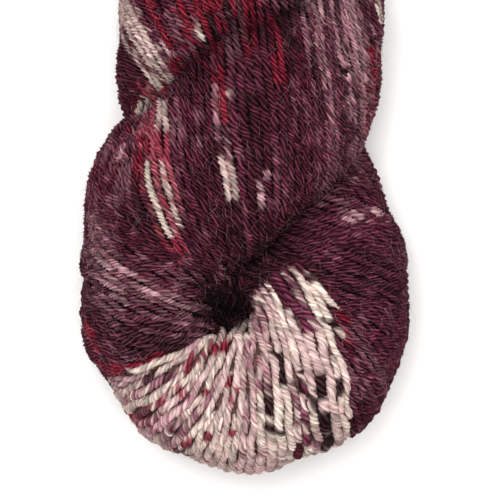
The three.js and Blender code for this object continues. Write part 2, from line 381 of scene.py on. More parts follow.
def spread_angles(angle):
    """Carries the charted angles over the rest of the ropes, by doubled angle."""
    known = ~np.isnan(angle)
    start = np.where(known, angle, PLAIN_LAY)
    c, s = np.cos(2 * start), np.sin(2 * start)
    fixed = known | (np.abs(GRID[..., 1]) < PLAIN_BAND)
    for _ in range(SPREAD_ROUNDS):
        for field in (c, s):
            field[~fixed] = (sum(beside(field)) / 4)[~fixed]
    for _ in range(BLEND_ROUNDS):
        for field in (c, s):
            field[:] = (field + sum(beside(field))) / 5
    size = np.maximum(np.hypot(c, s), 1e-6)
    return c / size, s / size


def steps_for(way):
    """Rows and columns of the grid that one millimetre along a direction crosses."""
    g11, g12, g22 = (np.sum(p * q, -1) for p, q in ((ALONG, ALONG), (ALONG, AROUND), (AROUND, AROUND)))
    w1, w2 = np.sum(way * ALONG, -1), np.sum(way * AROUND, -1)
    det = np.maximum(g11 * g22 - g12**2, 1e-9)
    return np.stack([(w1 * g22 - w2 * g12) / det, (w2 * g11 - w1 * g12) / det], axis=-1)


def encloses(tree, p):
    """Whether a closed surface encloses a point: a slanted line from it leaves an odd number."""
    onward = Vector((0.31, 0.22, 0.92)).normalized()
    crossings = 0
    spot = tree.ray_cast(p, onward)[0]
    while spot is not None:
        crossings += 1
        spot = tree.ray_cast(spot + onward * 1e-3, onward)[0]
    return crossings % 2 == 1


def shell_of(rings, capped):
    """The surface through rings of points, with closed ends or open."""
    last = (len(rings) - 1) * COLS
    points = [Vector(p) for p in [*rings.reshape(-1, 3), rings[0].mean(0), rings[-1].mean(0)]]
    faces = []
    for j in range(COLS):
        k = (j + 1) % COLS
        faces += [(i + j, i + k, i + k + COLS, i + j + COLS) for i in range(0, last, COLS)]
        if capped:
            faces += [(len(points) - 2, k, j), (len(points) - 1, last + j, last + k)]
    return BVHTree.FromPolygons(points, faces)


def buried_and_creased():
    """How deep each point of one rope lies inside the other, in millimetres, and how near it is to
    the crease between them, from 0 to 1."""
    buried, creased = np.zeros((ROWS, COLS)), np.zeros((ROWS, COLS))
    for own in (IS_OVER, ~IS_OVER):
        rings = GRID[~own]
        plied = np.abs(rings[..., 1].mean(1)) < -BUN_CENTRE_Y
        whole, body = shell_of(rings, capped=True), shell_of(rings[plied], capped=False)
        for i, j in np.argwhere(np.broadcast_to(own[:, None], (ROWS, COLS))):
            p = Vector(GRID[i, j])
            spot, normal, _, away = whole.find_nearest(p)
            if (spot - p).dot(normal) > 0 and encloses(whole, p):
                buried[i, j] = away
            found = body.find_nearest(p, CREASE_REACH)
            if found[0] is not None:
                creased[i, j] = 1 - found[3] / CREASE_REACH
            if buried[i, j] > 0:
                creased[i, j] = 1
    return buried, creased


# ---------------------------------------------------------------- the single turns

# The yarn is fuller on the outer sides between each bun and its rope: how much, how far from the
# skein's middle, and over what length
WAIST_FILL, WAIST_AT, WAIST_REACH = 2.2, 88, 6.5
PRESSED, LOOSE = 1.88, 2.2  # spacing of the turns in the ropes, and where they fan out
HIDE_DEPTH = 2.2  # a turn is laid until it is this deep inside the other rope
STEP = 1.0  # length of one step along a turn
NEAREST = 0.62  # a turn ends under its neighbours when it comes this close, in spacings
ROOM = 0.8  # room that a new turn needs, in spacings
LONGEST, SHORTEST = 190, 7
TUCK = 4  # length over which a turn's end dives under the others
TUCK_DEPTH, LOOSE_TUCK_DEPTH = 1.7, 2.8
TUCK_CURVE = 1.4  # it dives ever more steeply
BOTH_WAYS = ((1, 0.2), (-1, -0.2))  # about along the rope and back
EYE_STOP = 1.6  # a turn ends so near the middle of an eye
WIDEST = 1.45  # how wide a turn may spread to fill a gap, in spacings

ANGLE, FAN = chart_faces()
LAY_C, LAY_S = spread_angles(ANGLE)
EYE_LEAN = np.sign(GRID[..., 1]) * EYE_DRIFT * (GRID[..., 2] - AXIS_HEIGHT) / BUN_THICKNESS
FROM_EYE = np.hypot(
    GRID[..., 0] - sideways_shift(GRID[..., 1]) - EYE_LEAN,
    np.abs(GRID[..., 1]) + BUN_CENTRE_Y,
)
BURIED, CREASED = buried_and_creased()
FACE_GAIN = 1.6  # the creases tell on the skein's faces, and ever less towards its sides
CREASED = CREASED * np.clip(np.abs(NORMAL[..., 2]) * FACE_GAIN, 0, 1)
OUTER = np.clip(np.sign(GRID[..., 0]) * NORMAL[..., 0], 0, 1) ** 2
FULLER = WAIST_FILL * np.exp(-(((np.abs(GRID[..., 1]) - WAIST_AT) / WAIST_REACH) ** 2)) * OUTER
GRID = GRID + NORMAL * FULLER[..., None]
FIELDS = np.stack([LAY_C, LAY_S, BURIED, FAN, FROM_EYE, CREASED], axis=-1)
CHANNELS = np.concatenate([GRID, NORMAL, steps_for(E_ALONG), steps_for(-E_AROUND), FIELDS], axis=-1)
# Where each channel stands
PLACE, FACE = slice(0, 3), slice(3, 6)
ALONG_ROWS, ALONG_COLS, ROUND_ROWS, ROUND_COLS = 6, 7, 8, 9
LAY_COS, LAY_SIN, DEEP_IN, IN_FAN, EYE_AWAY, BY_CREASE = 10, 11, 12, 13, 14, 15


def sample(row, col):
    """The channels at a place between the grid's points."""
    i, j = math.floor(row), math.floor(col)
    u, v = row - i, col - j
    i0, i1, j0, j1 = i % ROWS, (i + 1) % ROWS, j % COLS, (j + 1) % COLS
    return (
        CHANNELS[i0, j0] * ((1 - u) * (1 - v))
        + CHANNELS[i1, j0] * (u * (1 - v))
        + CHANNELS[i0, j1] * ((1 - u) * v)
        + CHANNELS[i1, j1] * (u * v)
    )


def heading(here, facing):
    """Unit direction of the turns at a place, as shares along and round the rope."""
    angle = 0.5 * math.atan2(here[LAY_SIN], here[LAY_COS])
    c, s = math.cos(angle), math.sin(angle)
    if c * facing[0] + s * facing[1] < 0:
        c, s = -c, -s
    return c, s


def moved(row, col, here, way, far):
    """The place at a distance, by the shares of its direction along and round the rope."""
    c, s = way
    return (
        row + far * (c * here[ALONG_ROWS] + s * here[ROUND_ROWS]),
        col + far * (c * here[ALONG_COLS] + s * here[ROUND_COLS]),
    )


class Neighbours:
    """Points of the turns laid so far, in cells."""

    def __init__(self, cell):
        self.cell = cell
        self.cells = {}

    def add(self, points, fan):
        for p in points:
            key = (int(p[0] // self.cell), int(p[1] // self.cell), int(p[2] // self.cell), fan)
            self.cells.setdefault(key, []).append((p[0], p[1], p[2]))

    def crowded(self, p, fan, limit):
        kx, ky, kz = (int(v // self.cell) for v in p)
        limit2 = limit * limit
        x, y, z = p
        for a in (kx - 1, kx, kx + 1):
            for b in (ky - 1, ky, ky + 1):
                for c in (kz - 1, kz, kz + 1):
                    for q in self.cells.get((a, b, c, fan), ()):
                        if (q[0] - x) ** 2 + (q[1] - y) ** 2 + (q[2] - z) ** 2 < limit2:
                            return True
        return False


laid = Neighbours(LOOSE)


def spacing_of(fan):
    return LOOSE if fan else PRESSED


def walk(row, col, facing, fan, crowd=True, most=LONGEST):
    """Follows the lay from a place: the rows and columns, and what was met there."""
    track = []
    gone = 0.0
    here = sample(row, col)
    while gone < most:
        facing = heading(here, facing)
        half_way = sample(*moved(row, col, here, facing, 0.5 * STEP))
        facing = heading(half_way, facing)
        row, col = moved(row, col, half_way, facing, STEP)
        here = sample(row, col)
        if here[EYE_AWAY] < EYE_STOP:
            break
        if crowd:
            if here[DEEP_IN] > HIDE_DEPTH or (here[IN_FAN] > 0.5) != fan:
                break
            if laid.crowded(here[PLACE], fan, NEAREST * spacing_of(fan)):
                break
        track.append((row, col, here))
        gone += STEP
    return track, facing


def lay_turn(row, col):
    """One turn through a place, with its two ends tucked in, or None where there is no room."""
    here = sample(row, col)
    fan = bool(here[IN_FAN] > 0.5)
    if here[DEEP_IN] > HIDE_DEPTH or here[EYE_AWAY] < EYE_STOP:
        return None
    if laid.crowded(here[PLACE], fan, ROOM * spacing_of(fan)):
        return None
    arms = []
    for facing in BOTH_WAYS:
        arm, facing = walk(row, col, heading(here, facing), fan)
        end = arm[-1] if arm else (row, col, here)
        tuck, _ = walk(end[0], end[1], facing, fan, crowd=False, most=TUCK)
        arms.append((arm, tuck))
    (ahead, ahead_tuck), (back, back_tuck) = arms
    body = back[::-1] + [(row, col, here)] + ahead
    if len(body) * STEP < SHORTEST:
        return None
    states = np.array([w[2] for w in back_tuck[::-1] + body + ahead_tuck])
    deepest = LOOSE_TUCK_DEPTH if fan else TUCK_DEPTH
    back_dive, ahead_dive = (
        [((k + 1) / TUCK) ** TUCK_CURVE * deepest for k in range(len(tuck))]
        for tuck in (back_tuck, ahead_tuck)
    )
    laid.add([w[2][PLACE] for w in body], fan)
    return {
        "points": states[:, PLACE],
        "normals": unit(states[:, FACE]),
        "dive": np.array(back_dive[::-1] + [0.0] * len(body) + ahead_dive),
        "from_eye": states[:, EYE_AWAY],
        "crease": states[:, BY_CREASE],
        "places": [(w[0], w[1]) for w in body],
        "fan": fan,
    }


START_ROWS, START_COLS, SCATTERED = 40, 12, 6000  # places where a turn is tried first


def lay_all():
    """Covers the ropes with evenly spaced turns, each started beside one already laid."""
    turns = []
    queue = []
    starts = [
        (float(r), float(c))
        for r in np.linspace(0, ROWS, START_ROWS, endpoint=False)
        for c in np.linspace(0, COLS, START_COLS, endpoint=False)
    ]
    scattered = zip(rng.uniform(0, ROWS, SCATTERED), rng.uniform(0, COLS, SCATTERED))
    for start in [*starts, *scattered]:
        queue.append(start)
        while queue:
            turn = lay_turn(*queue.pop(0))
            if turn is None:
                continue
            turns.append(turn)
            gap = spacing_of(turn["fan"])
            for row, col in turn["places"][::2]:
                here = sample(row, col)
                c, s = heading(here, (1, 0))
                queue += [moved(row, col, here, (-s, c), side * gap) for side in (1, -1)]
    return turns


EYE_TURNS, EYE_TURN_LENGTH = 9, 18  # the turns seen at the bottom of each eye
EYE_FLOOR_DEPTH = 13  # how far they lie from the middle of the skein
EYE_HOLLOW, EYE_SLANT = 0.02, 0.3  # how their bed rises outwards, and how askew they lie
EYE_CREASE = 0.5  # they sink, and are painted as dark with shade, as half way into a crease


def eye_turns():
    """Short turns laid side by side across the bottom of each eye, on both faces."""
    turns = []
    reach = np.arange(-EYE_TURN_LENGTH / 2, EYE_TURN_LENGTH / 2 + STEP, STEP)
    for end in (1, -1):
        for side in (1, -1):
            y = BUN_CENTRE_Y * end
            x = sideways_shift(y) - end * side * EYE_DRIFT * EYE_FLOOR_DEPTH / BUN_THICKNESS
            for k in range(EYE_TURNS):
                aside = (k - (EYE_TURNS - 1) / 2) * PRESSED
                across = x + aside + EYE_SLANT * reach * end * side
                hollow = EYE_HOLLOW * (reach**2 + aside**2)
                height = AXIS_HEIGHT + side * (EYE_FLOOR_DEPTH + hollow)
                turn = {
                    "points": np.stack([across, y + reach, height], axis=1),
                    "normals": np.tile([0.0, 0, side], (len(reach), 1)),
                    "dive": np.zeros(len(reach)),
                    "from_eye": np.hypot(reach, aside),
                    "crease": np.full(len(reach), EYE_CREASE),
                    "width": np.full(len(reach), PRESSED),
                    "fan": False,
                }
                turns.append(turn)
    return turns


def smoothed(values, reach):
    """Values along a turn, each the mean of those round it."""
    reach = min(reach, len(values) - 1)
    padded = np.concatenate([values[reach:0:-1], values, values[-2 : -reach - 2 : -1]])
    return np.convolve(padded, np.full(2 * reach + 1, 1 / (2 * reach + 1)), mode="valid")


NEAR_POINTS = 14  # points of other turns looked at round each point
ABREAST = 0.8 * STEP  # a point counts as beside one when it is no further ahead or behind
LEVEL, APART = 1, 0.3  # no more than that higher or lower, and at least that far aside
EVEN_ROUNDS = 2
SHIFT_SHARE, SHIFT_MOST = 0.35, 0.5  # share of the uneven room that a round takes up, and its limit
SHIFT_SMOOTHING, WIDTH_SMOOTHING = 3, 4  # steps each way over which these are evened out


def room_beside(turn, number, tree, owner):
    """Distance to the next turn on each side, all along a turn."""
    points, normals = turn["points"], turn["normals"]
    forward = unit(np.gradient(points, axis=0))
    across = unit(np.cross(forward, normals))
    widest = WIDEST * spacing_of(turn["fan"])
    room = np.full((len(points), 2), widest)
    for k, p in enumerate(points):
        for q, index, _ in tree.find_n(p, NEAR_POINTS):
            if owner[index] == number:
                continue
            d = np.array(q) - p
            aside = d @ across[k]
            level = abs(d @ forward[k]) < ABREAST and abs(d @ normals[k]) < LEVEL
            if level and abs(aside) > APART:
                side = int(aside > 0)
                room[k, side] = min(room[k, side], abs(aside))
    return room, across


def even_out(turns):
    """Shifts the turns sideways into the gaps between them, and widens them to fill what is left."""
    for _ in range(EVEN_ROUNDS):
        count = sum(len(turn["points"]) for turn in turns)
        tree, owner = KDTree(count), []
        for number, turn in enumerate(turns):
            for p in turn["points"]:
                tree.insert(p, len(owner))
                owner.append(number)
        tree.balance()
        rooms = [room_beside(turn, number, tree, owner) for number, turn in enumerate(turns)]
        for turn, (room, across) in zip(turns, rooms):
            shift = smoothed(SHIFT_SHARE * (room[:, 1] - room[:, 0]), SHIFT_SMOOTHING)
            shift = np.clip(shift, -SHIFT_MOST, SHIFT_MOST)
            turn["points"] = turn["points"] + across * shift[:, None]
            turn["width"] = smoothed(room.mean(axis=1), WIDTH_SMOOTHING)


# ---------------------------------------------------------------- the dye


def linear(hex_colour):
    """A sRGB hex colour as linear red, green and blue."""
    parts = [int(hex_colour[i : i + 2], 16) / 255 for i in (1, 3, 5)]
    return np.array([c / 12.92 if c <= 0.04045 else ((c + 0.055) / 1.055) ** 2.4 for c in parts])


COLOURS = {
    "aubergine": "#54192d",
    "shade": "#260a14",
    "plum": "#74314a",
    "mauve": "#a8757f",
    "pink": "#cfa0a6",
    "cream": "#ddc9bc",
    "pale": "#d2b5ae",
    "crimson": "#931b33",
    "rose": "#ad4458",
    "wine": "#5f1229",
    "black": "#231311",
}
# Where the dye was dabbed on, and one dark dab of painted shade over the eye: from one chart place
# to another, how wide, and the share of turns that took it
DABS = [
    # x0, y0, x1, y1, width, colour, share
    # Painted shade: a dark dab over the eye, where the turns dive in out of the light
    (226, 296, 232, 324, 30, "shade", 0.9),
    (122, 8, 130, 30, 7, "cream", 0.9), (133, 26, 162, 80, 18, "pale", 0.85),
    (127, 2, 146, 44, 13, "pale", 0.8), (146, 40, 158, 66, 8, "cream", 0.7),
    (165, 50, 174, 62, 5, "pink", 0.9), (152, 10, 170, 50, 7, "crimson", 0.7),
    (190, 0, 205, 36, 34, "crimson", 0.7), (215, 0, 235, 24, 36, "crimson", 0.7),
    (225, 22, 205, 42, 12, "shade", 0.7), (180, 5, 192, 50, 10, "crimson", 0.8),
    (200, 34, 203, 41, 4, "cream", 1.0), (176, 70, 160, 100, 9, "crimson", 0.7),
    (156, 90, 141, 112, 7, "cream", 1.0),
    (150, 110, 150, 172, 20, "crimson", 0.95), (160, 140, 174, 240, 18, "crimson", 0.95),
    (162, 112, 170, 134, 9, "pale", 0.95), (158, 140, 161, 160, 5, "pink", 0.9),
    (150, 108, 160, 168, 20, "rose", 0.55), (166, 150, 178, 236, 14, "rose", 0.6),
    (148, 112, 156, 165, 12, "pink", 0.3), (148, 172, 167, 232, 8, "cream", 0.95),
    (173, 176, 181, 220, 12, "pale", 0.8),
    (120, 150, 114, 190, 9, "wine", 0.8), (126, 155, 136, 210, 6, "pink", 0.7),
    (215, 70, 222, 122, 7, "crimson", 0.7), (229, 84, 231, 106, 4, "pale", 1.0),
    (218, 100, 224, 140, 10, "mauve", 0.45), (222, 140, 229, 170, 6, "pink", 0.6),
    (225, 166, 231, 198, 7, "pale", 0.8), (240, 40, 238, 56, 6, "mauve", 0.8),
    (264, 178, 262, 206, 5, "pink", 1.0), (268, 18, 280, 92, 9, "wine", 0.9),
    (270, 26, 278, 84, 5, "crimson", 0.5), (298, 40, 306, 92, 9, "wine", 0.8),
    (310, 0, 332, 16, 18, "pink", 0.6), (332, 0, 364, 62, 40, "mauve", 0.55),
    (348, 15, 358, 112, 18, "pink", 0.6),
    (340, 55, 346, 82, 8, "pink", 0.8), (370, 0, 378, 20, 5, "cream", 0.8),
    (372, 60, 366, 130, 9, "crimson", 0.8), (362, 105, 352, 172, 12, "mauve", 0.8),
    (318, 10, 352, 120, 44, "mauve", 0.45), (338, 80, 340, 92, 6, "shade", 0.8),
    (284, 44, 294, 52, 7, "shade", 0.8), (112, 306, 200, 326, 16, "mauve", 0.3),
    (98, 240, 112, 296, 26, "mauve", 0.7), (130, 268, 190, 300, 26, "mauve", 0.35),
    (104, 255, 124, 300, 8, "pink", 0.7),
    (118, 266, 150, 276, 6, "pink", 0.5), (152, 290, 184, 302, 8, "pink", 0.5),
    (104, 232, 120, 250, 12, "mauve", 0.4), (150, 312, 206, 322, 8, "mauve", 0.5),
    (112, 330, 180, 344, 34, "mauve", 0.35), (360, 240, 380, 330, 60, "plum", 0.6),
    (130, 300, 200, 316, 9, "mauve", 0.5), (93, 326, 104, 362, 5, "crimson", 0.75),
    (104, 362, 118, 368, 6, "crimson", 0.95), (124, 364, 162, 356, 7, "crimson", 0.9),
    (338, 222, 374, 212, 6, "pink", 0.7), (336, 310, 350, 346, 8, "crimson", 0.8),
    (345, 345, 368, 376, 9, "wine", 0.8),
]
# The loosened turns hold far less dye: cream, dabbed the same way
FAN_DABS = [
    (276, 262, 306, 262, 14, "aubergine", 0.95), (276, 270, 286, 298, 10, "aubergine", 0.9),
    (244, 292, 264, 274, 18, "aubergine", 0.95),
    (262, 292, 268, 312, 8, "pink", 0.8), (283, 280, 308, 322, 10, "plum", 0.95),
    (261, 318, 261, 368, 18, "mauve", 0.9), (248, 345, 247, 376, 8, "mauve", 0.9),
    (190, 360, 224, 343, 8, "crimson", 0.9), (192, 345, 200, 340, 6, "pink", 0.9),
    (174, 393, 182, 387, 5, "crimson", 0.9), (181, 398, 204, 386, 5, "crimson", 0.9),
    (150, 405, 165, 398, 5, "crimson", 0.8), (231, 378, 235, 396, 5, "crimson", 0.9),
    (184, 425, 189, 440, 5, "crimson", 0.9), (210, 430, 216, 445, 5, "crimson", 0.8),
    (228, 425, 238, 425, 4, "crimson", 0.7), (246, 404, 252, 420, 9, "crimson", 0.5),
    (110, 382, 172, 372, 8, "aubergine", 0.95), (110, 376, 113, 392, 6, "black", 0.9),
    (130, 405, 160, 413, 9, "aubergine", 0.95), (135, 415, 158, 422, 7, "crimson", 0.9),
    (160, 430, 184, 418, 9, "plum", 0.9), (176, 446, 196, 462, 6, "aubergine", 0.9),
    (280, 328, 286, 346, 6, "black", 0.9), (277, 355, 288, 380, 7, "black", 0.9),
    (297, 370, 300, 386, 5, "black", 0.9), (262, 385, 268, 405, 6, "black", 0.9),
    (266, 404, 272, 424, 8, "black", 0.95), (310, 390, 314, 402, 6, "black", 0.9),
    (320, 374, 322, 388, 6, "black", 0.9), (318, 404, 326, 418, 7, "black", 0.9),
    (324, 427, 330, 440, 6, "black", 0.9), (338, 382, 345, 394, 6, "black", 0.9),
    (327, 352, 333, 378, 4, "black", 0.9), (322, 318, 328, 322, 5, "black", 1.0),
    # A faint pink and mauve tint that makes the left of the fan duller
    (140, 390, 200, 440, 60, "pink", 0.25), (150, 380, 210, 420, 60, "mauve", 0.12),
    (296, 388, 304, 430, 10, "plum", 0.9), (300, 440, 298, 456, 7, "wine", 0.8),
    (312, 430, 318, 450, 8, "mauve", 0.8), (246, 425, 255, 450, 9, "mauve", 0.5),
]

# The uneven dye under the dabs: how each tone follows the grain, the patches and the turn's own
# uptake, the values between which it comes in, and how far it goes at most
LAYERS = [
    # colour, grain, patch, own, from, to, most
    ("shade", 1, 1, 0, 0.95, 0.6, 0.7),
    ("wine", 0, 1, 0, 0.55, 0.8, 0.5),
    ("plum", 1, 0.7, 0, 0.82, 1.1, 0.6),
    ("mauve", 1, 0.4, 0, 0.86, 1.05, 0.45),
]
FAN_LAYERS = [
    ("pink", 1, 0.5, 0, 0.7, 1.05, 0.5),
    ("plum", 1, 0, 0.3, 0.68, 0.86, 0.3),
]

PLIES = 4
TURN_UPTAKE, PLY_UPTAKE = 0.14, 0.24  # how unevenly the turns and their plies take the dye
PLY_TELLS = {"patch": 0.4, "grain": 0.2, "stroke": 0.35}  # how far a ply's uptake shows in each
COARSE, FINE = 0.6, 0.4  # shares of the two clouds that make up the grain
STREAK_SHAPE = (1, 0.55, 1)  # the grain is longer along the skein
TURNED_OVER = -0.15  # how far a face may look down and still take the chart of the front
DAB_SPREAD = 0.6  # how far a dab spreads each side, as a share of its width
DAB_RUN = 0.6  # how much less it fades along the yarn than across
DAB_WANDER = 1.2  # how far a turn shifts the dabs that it crosses, in units of the chart
DAB_OUTSIDE, DAB_INSIDE = 1.22, 0.84  # where a dab's edge begins and where it has its full colour
EDGE_WAVES, EDGE_WAVE, EDGE_GRAIN = (5, 11), 0.22, 0.3  # how uneven that edge is
LEAST_TAKEN = 0.1  # what the plies that miss a dab still take of it
PLY_SHARE = 0.9  # share of a turn's plies that take a dab
# How far each colour breaks up into short strokes, and where in the stroke pattern it is bare
BROKEN = {"mauve": 0.55, "pink": 0.55, "pale": 0.12, "cream": 0.05, "plum": 0.35, "rose": 0.3}
STROKE_BARE, STROKE_FULL = 0.4, 0.58
CLOUD_CELLS = 24  # a cloud repeats after so many lumps


class Cloud:
    """Smooth random values from 0 to 1 in space, with lumps of a size in millimetres."""

    def __init__(self, size):
        self.size = size
        self.values = rng.random((CLOUD_CELLS,) * 3)

    def __call__(self, points):
        at = points / self.size
        low = np.floor(at).astype(int)
        w = at - low
        w = w * w * (3 - 2 * w)
        total = np.zeros(points.shape[:-1])
        for corner in np.ndindex(2, 2, 2):
            share = np.prod(np.where(corner, w, 1 - w), axis=-1)
            x, y, z = ((low[..., k] + corner[k]) % CLOUD_CELLS for k in range(3))
            total += share * self.values[x, y, z]
        return total


def ramp(v, low, high):
    """A soft rise from 0 at one value to 1 at the other."""
    u = np.clip((v - low) / (high - low), 0, 1)
    return u * u * (3 - 2 * u)


broad, streaky, fine_cloud = Cloud(22), Cloud(7), Cloud(2.2)
WAVE_STRETCH = (0.8, 1.25)  # how much shorter or longer a wave may turn out


def slow_noise(length, waves, size):
    """A seeded slow wave along a strand, from the waves' lengths in millimetres."""
    run = np.arange(length) * RING
    total = np.zeros(length)
    for wave in waves:
        total += np.sin(2 * math.pi * (run / (wave * rng.uniform(*WAVE_STRETCH)) + rng.random()))
    return size * total / len(waves)


def dyed(points, normals, turn):
    """Colour of each ply along a turn, with the dab of painted shade over the eye but before the
    painted light and shade of the plies.
    """
    end = np.where(points[:, 1] < 0, 1, -1)
    side = np.where(normals[:, 2] >= TURNED_OVER, 1, -1)
    at = to_chart(points * np.stack([end * side, end, np.ones(len(points))], axis=1))
    ahead = unit(np.gradient(at, axis=0))
    at = at + rng.normal(0, DAB_WANDER, 2)
    own = rng.normal(0, TURN_UPTAKE)
    uptake = rng.normal(0, PLY_UPTAKE, PLIES)
    fine = fine_cloud(points)
    patch = (broad(points) + own)[:, None] + PLY_TELLS["patch"] * uptake
    grain = COARSE * streaky(points * STREAK_SHAPE) + FINE * fine
    grain = grain[:, None] + PLY_TELLS["grain"] * uptake
    edge = slow_noise(len(points), EDGE_WAVES, EDGE_WAVE) + EDGE_GRAIN * (fine - 0.5)
    edge = edge[:, None] + uptake
    stroke = COARSE * fine + FINE * streaky(points)
    stroke = stroke[:, None] + PLY_TELLS["stroke"] * uptake
    bare = 1 - ramp(stroke, STROKE_BARE, STROKE_FULL)
    tone = {name: linear(value) for name, value in COLOURS.items()}
    if turn["fan"]:
        base, layers, dabs = "cream", FAN_LAYERS, FAN_DABS
    else:
        base, layers, dabs = "aubergine", LAYERS, DABS
    colour = np.tile(tone[base], (len(points), PLIES, 1))
    for name, by_grain, by_patch, by_own, low, high, most in layers:
        share = ramp(by_grain * grain + by_patch * patch + by_own * own, low, high) * most
        colour += share[..., None] * (tone[name] - colour)
    for x0, y0, x1, y1, width, name, taken in dabs:
        run = np.array([x1 - x0, y1 - y0], float)
        start = np.array([x0, y0])
        t = np.clip((at - start) @ run / (run @ run), 0, 1)
        off = at - start - t[:, None] * run
        along = np.sum(off * ahead, axis=1)
        across = np.sqrt(np.maximum(np.sum(off**2, axis=1) - along**2, 0))
        away = np.hypot(along * DAB_RUN, across)[:, None]
        takes = (rng.random() < taken) * (rng.random(PLIES) < PLY_SHARE)
        took = LEAST_TAKEN + (1 - LEAST_TAKEN) * takes
        share = took * ramp(away / (DAB_SPREAD * width) + edge, DAB_OUTSIDE, DAB_INSIDE)
        share = share * (1 - BROKEN.get(name, 0) * bare)
        colour += share[..., None] * (tone[name] - colour)
    return colour


# ---------------------------------------------------------------- strands of four plies

PLY_TURN, LOOSE_PLY_TURN = 6.2, 7.4  # length in which the plies turn once
OWN_TWIST, OWN_SIZE = (0.88, 1.16), (0.94, 1.06)  # how the turns differ in twist and thickness
RING = 0.78  # length between the rings of a strand
UNEVEN_TWIST = 0.9  # how far the plies run ahead of their even twist or behind, in radians
SECTION = 2 * PLIES  # corners of the section: a crown and a valley for each ply
VALLEY, LOOSE_VALLEY = 0.58, 0.82  # radius in the valleys, as a share of the crowns'
RADIUS_SHARE = 0.61  # radius of a turn, as a share of its room
SLIM, STOUT = 0.85, 1.4  # least and most room that it fills, in spacings
SWELLING = 0.08  # how unevenly it was spun
SINK = 0.3  # how far the middle of a turn lies under the solid's face
FAN_RAISE, FAN_RIM_SINK = 0.7, 0.55  # how far loosened turns stand up, and sink at the rim
EYE_REACH, EYE_BOTTOM = 9, 2  # distances from the eye's middle where it begins and is full
CREASE_SINK, EYE_SINK = 1.0, 1.5  # how far the turns sink there
CREASE_SHADE, EYE_SHADE = 0.65, 0.75  # painted shade in the creases and in the eye: how much darker the turns are painted there
CREASE_CURVE = 1.5  # that painted shade deepens ever faster towards the crease
WANDER = {"up": 0.3, "side": 0.34}  # how far a turn strays from its even place
LOOSE_WANDER = {"up": 0.45, "side": 0.6}
SWELL_WAVES, BEND_WAVES, TWIST_WAVES = (9, 17), (12, 25), (7, 15)  # lengths of those waves
FLATTENED = 0.94  # how far a turn on the table keeps its radius
CROWN_HIGHLIGHT, CROWN_HIGHLIGHT_COLOUR = 0.07, "#b8808d"  # painted highlight on the crowns of the plies: how strong it is, and its colour
VALLEY_SHADE = 0.01  # painted shade in the valleys between the plies: the share of its colour that dark wool keeps there
VALLEY_GLOW = 1.05  # how much of its own light pale wool keeps under that painted shade
PLY_TONE = 0.14  # how unevenly light the plies of a turn are
UNDERSIDE = 0.3  # painted shade on the side of the turns that faces into the skein: how light they stay there
TURNED_IN, TURNED_OUT = -0.6, 0.5  # how far a corner faces in, where that painted shade is full, or out, where there is none
FIBRE_STRETCH = 0.2  # the fibres run along the plies, five times as far as across
PIECES = 5
UV_COLUMNS = 24


def in_eye(from_eye):
    """How far into an eye the yarn lies, from 0 at its mouth to 1 at its bottom."""
    return ramp(from_eye, EYE_REACH, EYE_BOTTOM)


def sunk(crease, from_eye):
    """How far the yarn sinks by the creases and the eye."""
    return CREASE_SINK * crease**2 + EYE_SINK * in_eye(from_eye)


RINGED = ("points", "normals", "dive", "from_eye", "crease", "width")


def ringed(turn):
    """The turn as measured at each ring of its strand."""
    steps = len(turn["points"])
    at = np.linspace(0, steps - 1, round((steps - 1) * STEP / RING) + 1)
    out = dict(turn)
    for key in RINGED:
        columns = turn[key].reshape(steps, -1).T
        values = np.stack([np.interp(at, np.arange(steps), column) for column in columns], axis=1)
        out[key] = values.reshape(len(at), *turn[key].shape[1:])
    return out


def middle_line(turn, radius):
    """The line that a turn follows, sunk, dived and strayed from its even place."""
    n = len(radius)
    normals = turn["normals"]
    drift = LOOSE_WANDER if turn["fan"] else WANDER
    lift = -SINK - turn["dive"] + slow_noise(n, SWELL_WAVES, drift["up"])
    lift -= sunk(turn["crease"], turn["from_eye"])
    if turn["fan"]:
        lift += FAN_RAISE * np.abs(normals[:, 2]) - FAN_RIM_SINK
    middle = turn["points"] + normals * lift[:, None]
    if n > 4:
        padded = np.vstack([middle[:1], middle, middle[-1:]])
        middle = (padded[:-2] + 2 * padded[1:-1] + padded[2:]) / 4
    forward = unit(np.gradient(middle, axis=0))
    stray = slow_noise(n, BEND_WAVES, drift["side"])
    middle = middle + np.cross(forward, normals) * stray[:, None]
    middle[:, 2] = np.maximum(middle[:, 2], radius * FLATTENED)
    return middle


def shaded(tones, turn, outward):
    """Colour of each corner of the section, with a painted highlight on the crowns and painted shade
    in the valleys, underneath, in the creases and in the eye, and how much light the last two leave."""
    colours = np.zeros((len(tones), SECTION, 3))
    colours[:, 0::2] = tones
    colours[:, 1::2] = (tones + np.roll(tones, -1, axis=1)) / 2
    plies = 1 + PLY_TONE * np.repeat(rng.normal(0, 1, PLIES), 2)
    # Painted shade on the corners that face into the skein
    under = UNDERSIDE + (1 - UNDERSIDE) * ramp(outward, TURNED_IN, TURNED_OUT)
    # Painted highlight on the crowns of the plies
    colours[:, 0::2] += CROWN_HIGHLIGHT * (linear(CROWN_HIGHLIGHT_COLOUR) - colours[:, 0::2])
    # Painted shade in the valleys, less of it on pale wool
    pale = colours.mean(axis=-1, keepdims=True)
    low = np.minimum(VALLEY_SHADE + VALLEY_GLOW * pale, 1)
    valley = (np.arange(SECTION) % 2)[None, :, None]
    colours = colours * (1 + valley * (low - 1)) * plies[None, :, None]
    # Painted shade in the creases and in the eye
    deep = 1 - CREASE_SHADE * turn["crease"] ** CREASE_CURVE
    deep = deep * (1 - EYE_SHADE * in_eye(turn["from_eye"]))
    return np.clip(colours * under[..., None] * deep[:, None, None], 0, 1), deep


